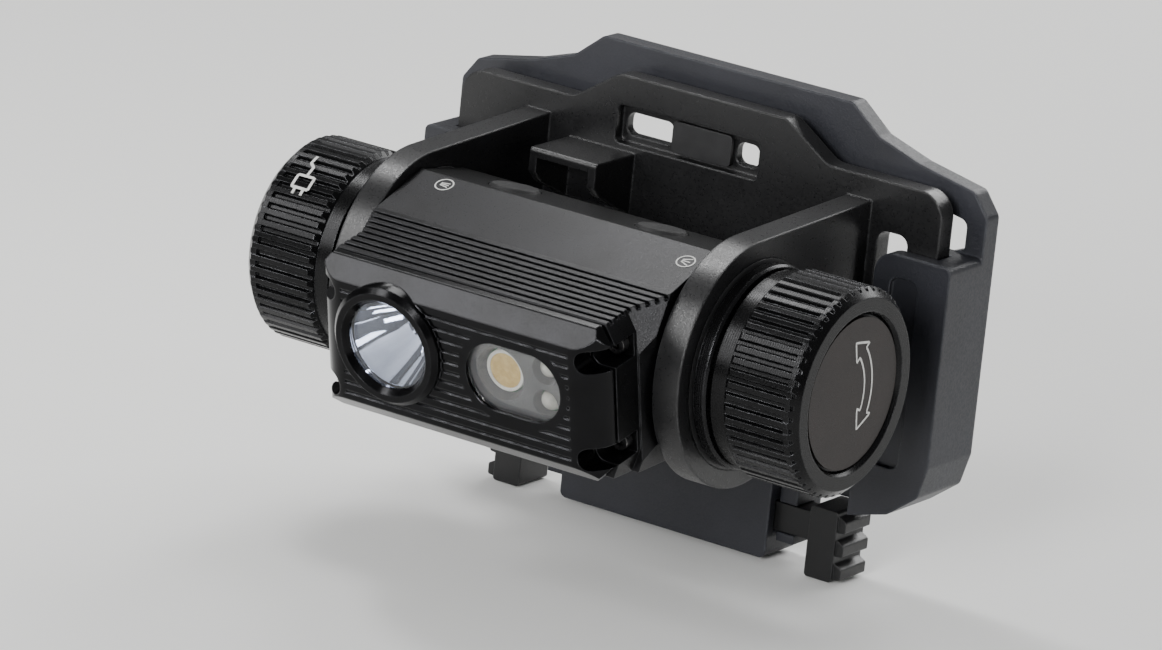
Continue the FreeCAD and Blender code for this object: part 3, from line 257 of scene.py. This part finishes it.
# solder mask, green with the copper faintly lighter beneath it
finishes["board_green"] = surfaceMaterial("solderMask", {
    "colour": "#14532f", "second": "#1b6a3c", "worn": "#c9a45a", "wear": 0.5, "metallic": 0.0,
    "cloudMm": 1.5, "grainMm": 0.1, "edgeMm": 0.08, "rough": 0.30, "roughSpread": 0.06,
    "relief": 0.2, "reliefMm": 0.02})

# phosphor coat of the emitters: chalky yellow, a little deeper in patches
finishes["spot_emitter"] = surfaceMaterial("phosphorUnderSilicone", {
    "colour": "#e9c75a", "second": "#d9ae3c", "worn": "#f4e7b0", "wear": 0.3, "metallic": 0.0,
    "cloudMm": 0.8, "grainMm": 0.08, "edgeMm": 0.1, "rough": 0.35, "roughSpread": 0.08,
    "relief": 0.2, "reliefMm": 0.01, "shader": {"Coat Weight": 0.8, "Coat Roughness": 0.05}})
finishes["flood_phosphor"] = surfaceMaterial("phosphorDisc", {
    "colour": "#e6c877", "second": "#d2a94e", "worn": "#f2e2b4", "wear": 0.3, "metallic": 0.0,
    "cloudMm": 1.0, "grainMm": 0.1, "edgeMm": 0.1, "rough": 0.5, "roughSpread": 0.1,
    "relief": 0.35, "reliefMm": 0.02, "shader": {"Coat Weight": 0.5, "Coat Roughness": 0.1}})
finishes["flood_ring"] = surfaceMaterial("whiteSiliconeDam", {
    "colour": "#fafaf6", "second": "#f0f0ec", "worn": "#ffffff", "wear": 0.3, "metallic": 0.0,
    "cloudMm": 1.0, "grainMm": 0.1, "edgeMm": 0.2, "rough": 0.35, "roughSpread": 0.06,
    "relief": 0.2, "reliefMm": 0.02, "shader": {"Coat Weight": 0.3}})

# clear epoxy over a bright cup: reads as a pale shiny bead
finishes["small_led_clear"] = surfaceMaterial("clearEpoxyBead", {
    "colour": "#f0eee8", "second": "#d8d5cc", "worn": "#ffffff", "wear": 0.4, "metallic": 0.0,
    "cloudMm": 0.9, "grainMm": 0.3, "edgeMm": 0.2, "rough": 0.12, "roughSpread": 0.04,
    "relief": 0.1, "reliefMm": 0.02, "shader": {"Transmission Weight": 0.35, "Coat Weight": 1.0}})

# milled aluminium block under the diodes: bright with fine cutter marks
finishes["sink_aluminium"] = surfaceMaterial("milledAluminium", {
    "colour": "#b9bbbf", "second": "#c9cacc", "worn": "#e6e6e6", "wear": 0.6, "metallic": 1.0,
    "cloudMm": 3.0, "grainMm": 0.2, "edgeMm": 0.15, "rough": 0.32, "roughSpread": 0.08,
    "relief": 0.3, "reliefMm": 0.02})
finishes["chip_black"] = surfaceMaterial("mouldCompound", {
    "colour": "#1c1c1c", "second": "#262626", "worn": "#4a4a4a", "wear": 0.4, "metallic": 0.0,
    "cloudMm": 1.0, "grainMm": 0.1, "edgeMm": 0.08, "rough": 0.55, "roughSpread": 0.08,
    "relief": 0.3, "reliefMm": 0.01})
finishes["post_brass"] = surfaceMaterial("turnedBrass", {
    "colour": "#c49a4a", "second": "#b3873a", "worn": "#e8cf8e", "wear": 0.5, "metallic": 1.0,
    "cloudMm": 1.2, "grainMm": 0.12, "edgeMm": 0.08, "rough": 0.28, "roughSpread": 0.07,
    "relief": 0.25, "reliefMm": 0.01})
finishes["switch_steel"] = surfaceMaterial("pressedSteel", {
    "colour": "#9c9c9c", "second": "#b0b0ae", "worn": "#d8d8d6", "wear": 0.5, "metallic": 1.0,
    "cloudMm": 1.0, "grainMm": 0.12, "edgeMm": 0.08, "rough": 0.34, "roughSpread": 0.07,
    "relief": 0.25, "reliefMm": 0.01})

# shrink film round the cell: dark blue, glossy, slightly puckered
finishes["cell_wrap"] = surfaceMaterial("shrinkFilm", {
    "colour": "#141d33", "second": "#1a2540", "worn": "#31405e", "wear": 0.3, "metallic": 0.0,
    "cloudMm": 8.0, "grainMm": 1.2, "edgeMm": 0.4, "rough": 0.22, "roughSpread": 0.06,
    "relief": 0.25, "reliefMm": 0.05, "shader": {"Coat Weight": 0.3}})
finishes["cell_terminal"] = surfaceMaterial("nickelPlate", {
    "colour": "#c6c3ba", "second": "#b5b2a9", "worn": "#ece9e0", "wear": 0.4, "metallic": 1.0,
    "cloudMm": 1.5, "grainMm": 0.15, "edgeMm": 0.1, "rough": 0.22, "roughSpread": 0.06,
    "relief": 0.2, "reliefMm": 0.01})
finishes["contact_brass"] = surfaceMaterial("goldFlashedBrass", {
    "colour": "#d8b25c", "second": "#c79f49", "worn": "#f0d893", "wear": 0.4, "metallic": 1.0,
    "cloudMm": 2.0, "grainMm": 0.15, "edgeMm": 0.1, "rough": 0.24, "roughSpread": 0.06,
    "relief": 0.2, "reliefMm": 0.01, "latheMm": 0.4, "latheShare": 0.4})
finishes["plug_plastic"] = surfaceMaterial("glassFilledNylon", {
    "colour": "#1b1b1c", "second": "#242425", "worn": "#3a3a3b", "wear": 0.4, "metallic": 0.0,
    "cloudMm": 3.0, "grainMm": 0.18, "edgeMm": 0.12, "rough": 0.5, "roughSpread": 0.08,
    "relief": 0.35, "reliefMm": 0.03})
finishes["port_steel"] = surfaceMaterial("drawnSteel", {
    "colour": "#a6a6a4", "second": "#b6b6b4", "worn": "#dededc", "wear": 0.5, "metallic": 1.0,
    "cloudMm": 2.0, "grainMm": 0.15, "edgeMm": 0.1, "rough": 0.30, "roughSpread": 0.07,
    "relief": 0.2, "reliefMm": 0.01})
finishes["spring_steel"] = surfaceMaterial("springWire", {
    "colour": "#b7a878", "second": "#a79765", "worn": "#ddd0a6", "wear": 0.4, "metallic": 1.0,
    "cloudMm": 1.5, "grainMm": 0.1, "edgeMm": 0.05, "rough": 0.26, "roughSpread": 0.06,
    "relief": 0.2, "reliefMm": 0.01})
print("lamp finishes made:", len(finishes))

# finishes of the cradle and the adapter

# moulded nylon with a spark-eroded skin: semi-gloss black whose edges catch a thin grey line
finishes["cradle_plastic"] = surfaceMaterial("mouldedNylonSemiGloss", {
    "colour": "#0f0f10", "second": "#161617", "worn": "#5a5b5d", "wear": 0.35, "metallic": 0.0,
    "cloudMm": 12.0, "grainMm": 0.28, "edgeMm": 0.45, "rough": 0.33, "roughSpread": 0.07,
    "relief": 0.35, "reliefMm": 0.04, "ior": 1.53, "shader": {"Specular IOR Level": 0.42}})
finishes["liner_plastic"] = surfaceMaterial("acetalLiner", {
    "colour": "#222223", "second": "#2b2b2c", "worn": "#4b4b4c", "wear": 0.3, "metallic": 0.0,
    "cloudMm": 4.0, "grainMm": 0.2, "edgeMm": 0.12, "rough": 0.42, "roughSpread": 0.06,
    "relief": 0.25, "reliefMm": 0.02, "ior": 1.48})
finishes["clip_plastic"] = surfaceMaterial("satinNylonClip", {
    "colour": "#19191a", "second": "#222223", "worn": "#444445", "wear": 0.4, "metallic": 0.0,
    "cloudMm": 2.5, "grainMm": 0.2, "edgeMm": 0.2, "rough": 0.45, "roughSpread": 0.08,
    "relief": 0.35, "reliefMm": 0.03})
# glass-filled nylon, a coarser skin and a blue-grey cast: reads a step lighter than the cradle
finishes["adapter_plastic"] = surfaceMaterial("mouldedNylonMatt", {
    "colour": "#1d1e23", "second": "#24252b", "worn": "#666a72", "wear": 0.30, "metallic": 0.0,
    "cloudMm": 14.0, "grainMm": 0.32, "edgeMm": 0.55, "rough": 0.46, "roughSpread": 0.08,
    "relief": 0.45, "reliefMm": 0.05, "ior": 1.53, "shader": {"Specular IOR Level": 0.4}})
finishes["latch_plastic"] = surfaceMaterial("mouldedNylonBlack", {
    "colour": "#0c0c0d", "second": "#121213", "worn": "#48494b", "wear": 0.35, "metallic": 0.0,
    "cloudMm": 5.0, "grainMm": 0.25, "edgeMm": 0.3, "rough": 0.36, "roughSpread": 0.07,
    "relief": 0.35, "reliefMm": 0.04, "ior": 1.53, "shader": {"Specular IOR Level": 0.4}})
finishes["pad_rubber"] = surfaceMaterial("softRubberPad", {
    "colour": "#262626", "second": "#303030", "worn": "#434343", "wear": 0.3, "metallic": 0.0,
    "cloudMm": 2.5, "grainMm": 0.3, "edgeMm": 0.2, "rough": 0.78, "roughSpread": 0.1,
    "relief": 0.5, "reliefMm": 0.05})

slotOf = {entry["node"]: entry["material_slot"] for entry in frame["record"]["subparts"]}
for nodeName, nodeObject in frame["nodes"].items():
    for materialSlot in nodeObject.material_slots:
        materialSlot.material = finishes[slotOf[nodeName]]
print("finishes given to", len(slotOf), "pieces")


# places on the lamp
def lampPoint(x, forward, up):
    # lamp drawing (x along the tube, forward, up) to the object's frame:
    # turn by the tilt about the tube, then move to the tube's axis
    tilt = math.radians(lampPose["tiltDegrees"])
    y = -forward * math.cos(tilt) - up * math.sin(tilt) + lampPose["axisY"]
    z = -forward * math.sin(tilt) + up * math.cos(tilt) + lampPose["axisZ"]
    return np.stack([x, y, z], axis=-1)


def strokeGrid(line, width, closed):
    # a flat ribbon along a drawn line: each point moves half the width to both sides along the
    # line's own normal, so the ribbon is the grid (step along the line, side)
    if closed:
        ahead = np.roll(line, -1, axis=0) - np.roll(line, 1, axis=0)
    else:
        ahead = np.gradient(line, axis=0)
    ahead = ahead / np.linalg.norm(ahead, axis=1, keepdims=True)
    side = np.stack([-ahead[:, 1], ahead[:, 0]], axis=1) * width / 2
    return np.stack([line + side, line - side], axis=1)


def gridMesh(name, points, closeLong=False, closeAround=False):
    # surface of a grid of points (rows, columns, xyz), faces joining each row to the next
    rows, columns = points.shape[:2]
    index = np.arange(rows * columns).reshape(rows, columns)
    nextRow = np.roll(index, -1, axis=0)
    nextColumn = np.roll(index, -1, axis=1)
    both = np.roll(nextRow, -1, axis=1)
    quads = np.stack([index, nextColumn, both, nextRow], axis=-1)
    quads = quads[:rows if closeLong else rows - 1, :columns if closeAround else columns - 1].reshape(-1, 4)
    mesh = bpy.data.meshes.new(name)
    mesh.from_pydata(points.reshape(-1, 3).tolist(), [], quads.tolist())
    mesh.validate()
    obj = bpy.data.objects.new(name, mesh)
    bpy.context.scene.collection.objects.link(obj)
    return obj


def arcLine(radius, startDegrees, endDegrees, steps, centre=(0.0, 0.0)):
    angle = np.radians(np.linspace(startDegrees, endDegrees, steps))
    return np.stack([centre[0] + radius * np.cos(angle), centre[1] + radius * np.sin(angle)], axis=1)


def smoothLine(corners, steps):
    # evenly spaced points along straight runs between the corners
    corners = np.asarray(corners, dtype=float)
    runs = np.linalg.norm(np.diff(corners, axis=0), axis=1)
    reach = np.concatenate([[0], np.cumsum(runs)])
    at = np.linspace(0, reach[-1], steps)
    return np.stack([np.interp(at, reach, corners[:, 0]), np.interp(at, reach, corners[:, 1])], axis=1)


# white laser-cleared marks: bare oxide, matt and slightly uneven
printWhite = surfaceMaterial("laserClearedOxide", {
    "colour": "#c9c9c6", "second": "#b4b4b1", "worn": "#e6e6e4", "wear": 0.2, "metallic": 0.0,
    "cloudMm": 0.8, "grainMm": 0.1, "edgeMm": 0.02, "rough": 0.55, "roughSpread": 0.1,
    "relief": 0.2, "reliefMm": 0.01})


def addMark(name, line, width, closed, place, body):
    # a thin printed line laid on the surface that place() describes
    ribbon = strokeGrid(line, width, closed)
    points = place(ribbon[..., 0], ribbon[..., 1])
    mark = gridMesh(name, points, closeLong=closed)
    mark.data.materials.append(printWhite)
    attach(mark, body)
    return mark


# turn arrow on the battery cap's end disc: a curved band outline with a head at both ends
arrowSizes = {"inner": 0.0074, "outer": 0.0092, "headReach": 0.0009, "span": 62.0, "headDegrees": 18.0,
              "line": 0.00032, "lift": 0.00003, "turn": -2.0, "centreRear": -0.0046, "centreUp": 0.0009}


def arrowOutline(sizes):
    # outer arc, first head, inner arc back, second head: one closed line in the disc's plane
    half = sizes["span"] / 2
    middle = (sizes["inner"] + sizes["outer"]) / 2
    tip = half + sizes["headDegrees"]

    def polar(radius, degrees):
        return [radius * math.cos(math.radians(degrees)), radius * math.sin(math.radians(degrees))]
    outer = arcLine(sizes["outer"], -half, half, 40)
    inner = arcLine(sizes["inner"], half, -half, 40)
    headOne = smoothLine([polar(sizes["outer"] + sizes["headReach"], half), polar(middle, tip),
                          polar(sizes["inner"] - sizes["headReach"], half)], 25)
    headTwo = smoothLine([polar(sizes["inner"] - sizes["headReach"], -half), polar(middle, -tip),
                          polar(sizes["outer"] + sizes["headReach"], -half)], 25)
    return np.concatenate([outer, headOne, inner, headTwo])


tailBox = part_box("tail_badge")
discX = tailBox[1][0]


def onTailDisc(a, b):
    # disc plane: a runs to the rear and b runs up; the arrow's own centre lies off the disc's centre
    turn = math.radians(arrowSizes["turn"])
    forward = -(a * math.cos(turn) - b * math.sin(turn) + arrowSizes["centreRear"])
    up = a * math.sin(turn) + b * math.cos(turn) + arrowSizes["centreUp"]
    return lampPoint(np.full_like(a, discX + arrowSizes["lift"]), forward, up)


addMark("turnArrow", arrowOutline(arrowSizes), arrowSizes["line"], True, onTailDisc, "tail_cap")

# two round signs on the smooth top panel: narrow beam at the left end, wide beam at the right end
panelSizes = {"rearForward": 0.0008, "rearUp": 0.0157, "frontForward": 0.0110, "frontUp": 0.0142,
              "lift": 0.00004, "leftX": -0.0188, "leftAlong": 0.0020, "rightX": 0.0216, "rightAlong": 0.0036,
              "signRadius": 0.00125, "line": 0.00020, "rayBack": 0.0006, "rayAhead": 0.0007,
              "raySpacing": 0.00022, "narrowSpread": 0.00022, "wideSpread": 0.00055}


def onPanel(a, b):
    # panel plane: a along the tube, b from the rear edge towards the front edge
    run = math.hypot(panelSizes["frontForward"] - panelSizes["rearForward"],
                     panelSizes["frontUp"] - panelSizes["rearUp"])
    stepForward = (panelSizes["frontForward"] - panelSizes["rearForward"]) / run
    stepUp = (panelSizes["frontUp"] - panelSizes["rearUp"]) / run
    forward = panelSizes["rearForward"] + b * stepForward - panelSizes["lift"] * stepUp
    up = panelSizes["rearUp"] + b * stepUp + panelSizes["lift"] * stepForward
    return lampPoint(a, forward, up)


for side, label in ((-1, "spotSign"), (1, "floodSign")):
    end = "left" if side < 0 else "right"
    centre = (panelSizes[end + "X"], panelSizes[end + "Along"])
    addMark(label + "Ring", arcLine(panelSizes["signRadius"], 0, 352, 45, centre), panelSizes["line"], True,
            onPanel, "lamp")
    spread = panelSizes["wideSpread" if side > 0 else "narrowSpread"]
    spacing = panelSizes["raySpacing"]
    for number, slope in enumerate((-1, 0, 1)):
        ray = [[centre[0] - panelSizes["rayBack"], centre[1] + slope * spacing],
               [centre[0] + panelSizes["rayAhead"], centre[1] + slope * (spacing + spread)]]
        addMark(label + "Ray" + str(number), smoothLine(ray, 4), panelSizes["line"], False, onPanel, "lamp")

# charging sign on the port cap's knurl: a lead with a plug at its end, generic
chargeSizes = {"radius": 0.01436, "line": 0.00042, "aroundDegrees": 66.0, "scale": 0.85,
               "plainEnd": 0.0022, "towardsEnd": 0.0002}
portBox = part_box("port_cap")
knurlMiddle = (portBox[0][0] + portBox[1][0] - chargeSizes["plainEnd"]) / 2 - chargeSizes["towardsEnd"]


def onPortKnurl(a, b):
    # cap flank: a along the tube, b is arc length round it, both rolled on the knurl's radius
    angle = math.radians(chargeSizes["aroundDegrees"]) + b / chargeSizes["radius"]
    radius = chargeSizes["radius"]
    return lampPoint(knurlMiddle + a, radius * np.cos(angle), radius * np.sin(angle))


def turnSign(corners):
    # the sign is drawn lying down, then stood up so that it runs round the cap
    return [(-chargeSizes["scale"] * b, chargeSizes["scale"] * a) for a, b in corners]


chargeLines = [
    [(-0.0030, -0.0016), (-0.0006, -0.0016), (-0.0006, 0.0016), (-0.0030, 0.0016), (-0.0030, -0.0016)],
    [(-0.0030, -0.0008), (-0.0042, -0.0008)],
    [(-0.0030, 0.0008), (-0.0042, 0.0008)],
    [(-0.0006, 0.0), (0.0014, 0.0), (0.0022, 0.0010), (0.0040, 0.0010)],
]
for number, corners in enumerate(chargeLines):
    addMark("chargeSign" + str(number), smoothLine(turnSign(corners), 30), chargeSizes["line"], False,
            onPortKnurl, "port_cap")
print("printed marks laid")

# floor, light and camera
floorSizes = {"half": 1.6, "drop": 0.0002}
low, high = (Vector(corner) for corner in cadBounds)
floorZ = low.z - floorSizes["drop"]
floorMesh = bpy.data.meshes.new("floor")
h = floorSizes["half"]
floorCorners = [(-h, -h, floorZ), (h, -h, floorZ), (h, h, floorZ), (-h, h, floorZ)]
floorMesh.from_pydata(floorCorners, [], [(0, 1, 2, 3)])
floor = bpy.data.objects.new("floor", floorMesh)
bpy.context.scene.collection.objects.link(floor)
floor.data.materials.append(surfaceMaterial("paleBoard", {
    "colour": "#f2f2f0", "second": "#eeeeec", "worn": "#f2f2f0", "wear": 0.0, "metallic": 0.0,
    "cloudMm": 400.0, "grainMm": 2.0, "edgeMm": 0.01, "rough": 0.75, "roughSpread": 0.05,
    "relief": 0.02, "reliefMm": 0.02}))

# a dim studio, a little brighter overhead, so that black faces stay black
worldSizes = {"brightTowards": (0.0, 0.30, 0.95), "dim": 0.06, "bright": 0.30,
              "dimUpTo": -0.35, "brightFrom": 0.75}
world = bpy.data.worlds.new("paleStudio")
bpy.context.scene.world = world
world.use_nodes = True
worldTree = world.node_tree
worldTree.nodes.clear()
skyDirection = addNode(worldTree, "ShaderNodeTexCoord").outputs["Generated"]
skySides = addNode(worldTree, "ShaderNodeVectorMath", {
    "operation": "DOT_PRODUCT", 1: worldSizes["brightTowards"]}, {0: skyDirection}).outputs["Value"]
skyStrength = remap(worldTree, skySides, worldSizes["dim"], worldSizes["bright"],
                    worldSizes["dimUpTo"], worldSizes["brightFrom"])
background = addNode(worldTree, "ShaderNodeBackground", {"Color": toLinear("#f7f8fa")},
                     {"Strength": skyStrength})
addNode(worldTree, "ShaderNodeOutputWorld", links={"Surface": background.outputs[0]})

centre = (low + high) / 2


def addLamp(name, direction, distance, size, energy, colour="#ffffff"):
    # soft box: a square light at that direction and distance from the object, looking at it
    light = bpy.data.lights.new(name, "AREA")
    light.shape = "RECTANGLE"
    light.size, light.size_y = size
    light.energy = energy
    light.color = toLinear(colour)[:3]
    obj = bpy.data.objects.new(name, light)
    bpy.context.scene.collection.objects.link(obj)
    toward = Vector(direction).normalized()
    obj.location = centre + toward * distance
    obj.rotation_euler = toward.to_track_quat("Z", "Y").to_euler()
    return obj


addLamp("frontBox", (0.20, -1.00, 0.35), 1.20, (0.40, 0.40), 14.0)
addLamp("lowLeftBox", (-0.53, -0.62, 0.32), 0.90, (0.50, 0.30), 3.2)
addLamp("bevelBox", (-0.53, -0.60, 0.60), 0.70, (0.16, 0.16), 1.1)
addLamp("rearBox", (0.0, 1.0, 0.60), 0.90, (0.60, 0.40), 5.0)
addLamp("panelBox", (-0.38, 0.42, 0.82), 0.20, (0.05, 0.07), 0.085)
addLamp("knurlBox", (-0.50, 0.16, 0.85), 0.60, (0.10, 0.16), 1.1)
addLamp("rightStrip", (1.0, 0.06, 0.06), 0.55, (0.07, 0.16), 0.9)

viewing = {"azimuth": 33.35, "elevation": 16.33, "roll": 5.85, "distance": 1.0, "frameWidth": 0.156,
           "aimRight": 0.000, "aimUp": 0.0015}
azimuth, elevation, roll = (math.radians(viewing[key]) for key in ("azimuth", "elevation", "roll"))
back = Vector((math.sin(azimuth) * math.cos(elevation), -math.cos(azimuth) * math.cos(elevation),
               math.sin(elevation)))
right = Vector((math.cos(azimuth), math.sin(azimuth), 0))
up = back.cross(right)
rightRolled = right * math.cos(roll) + up * math.sin(roll)
upRolled = up * math.cos(roll) - right * math.sin(roll)
cameraData = bpy.data.cameras.new("viewCamera")
cameraData.sensor_width = 36.0
cameraData.lens = cameraData.sensor_width * viewing["distance"] / viewing["frameWidth"]
cameraData.clip_start = 0.01
camera = bpy.data.objects.new("viewCamera", cameraData)
bpy.context.scene.collection.objects.link(camera)
aim = centre + rightRolled * viewing["aimRight"] + upRolled * viewing["aimUp"]
turned = Matrix((rightRolled, upRolled, back)).transposed().to_4x4()
turned.translation = aim + back * viewing["distance"]
camera.matrix_world = turned
bpy.context.scene.camera = camera
print("camera and light set")
